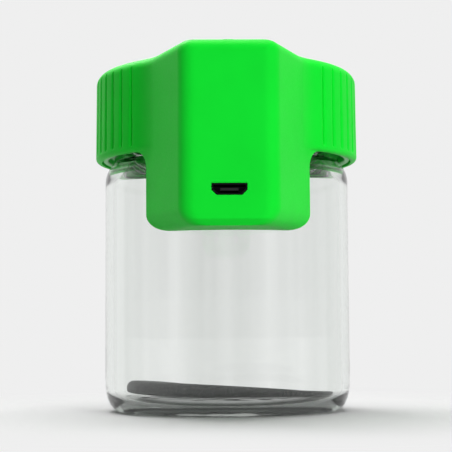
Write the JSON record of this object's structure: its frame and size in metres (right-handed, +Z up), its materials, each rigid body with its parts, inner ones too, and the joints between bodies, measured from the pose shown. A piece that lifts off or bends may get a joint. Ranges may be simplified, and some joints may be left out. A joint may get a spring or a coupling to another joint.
{
  "type": "bug catcher jar",
  "caption": "Clear glass jar with a green screw lid that holds a magnifier, a light and a hanging power pod with a charging socket.",
  "frame": {"origin": "centre of the face that the jar stands on, on the jar's axis", "axes": "+Z up along the jar's axis; -Y towards the front, where the lid's power pod hangs; +X to the right as seen from the front"},
  "size_m": [0.07, 0.085, 0.0919],
  "materials": {
    "glass": "clear soda-lime glass, faint green in its thick edges",
    "mat": "matt dark grey moulded foam rubber",
    "seal": "pale silicone rubber",
    "lid_green": "vivid green moulded ABS, fine satin texture",
    "trim_green": "deeper green moulded ABS, polished",
    "lens": "clear polished acrylic",
    "board": "green solder resist on glass-epoxy board",
    "light_board": "white solder resist on glass-epoxy board",
    "led": "phosphor-yellow LED package",
    "black_plastic": "black moulded nylon",
    "plated_steel": "nickel-plated steel",
    "foil": "aluminium laminate pouch",
    "wire": "red PVC insulation"
  },
  "bodies": {
    "jar": {"glass_jar": "glass"},
    "mat": {"floor_mat": "mat"},
    "seal": {"seal_ring": "seal"},
    "magnifier": {"magnifier_lens": "lens", "lens_ring": "trim_green"},
    "button": {"power_button": "trim_green", "switch_plunger": "black_plastic"},
    "lid": {"screw_cap": "lid_green", "view_window": "lens", "lid_shell": "lid_green", "light_board": "light_board", "leds": "led", "switch_body": "black_plastic", "switch_board": "board", "charge_board": "board", "charge_chip": "black_plastic", "usb_shell": "plated_steel", "usb_tongue": "black_plastic", "battery": "foil", "battery_pad": "black_plastic", "battery_leads": "wire", "light_leads": "wire", "pod_cover": "lid_green", "cover_screws": "plated_steel", "board_screws": "plated_steel"}
  },
  "joints": [
    {"name": "mat_lift", "type": "slide", "parent": "jar", "child": "mat", "axis": [0, 0, 1], "range_m": [0, 0.04]},
    {"name": "lid_lift", "type": "slide", "parent": "jar", "child": "seal", "axis": [0, 0, 1], "range_m": [0, 0.06]},
    {"name": "lid_screw", "type": "slide", "parent": "seal", "child": "magnifier", "axis": [0, 0, 1], "range_m": [0, 0.0046]},
    {"name": "lid_turn", "type": "hinge", "parent": "magnifier", "child": "lid", "pos_m": [0, 0, 0.078], "axis": [0, 0, 1], "range_deg": [0, 380]},
    {"name": "button_press", "type": "slide", "parent": "lid", "child": "button", "axis": [0, 0, -1], "range_m": [0, 0.0005], "stiffness_N_per_m": 2000}
  ],
  "couplings": [
    {"joint": "lid_screw", "follows": "lid_turn", "m_per_rad": 0.00067323}
  ]
}
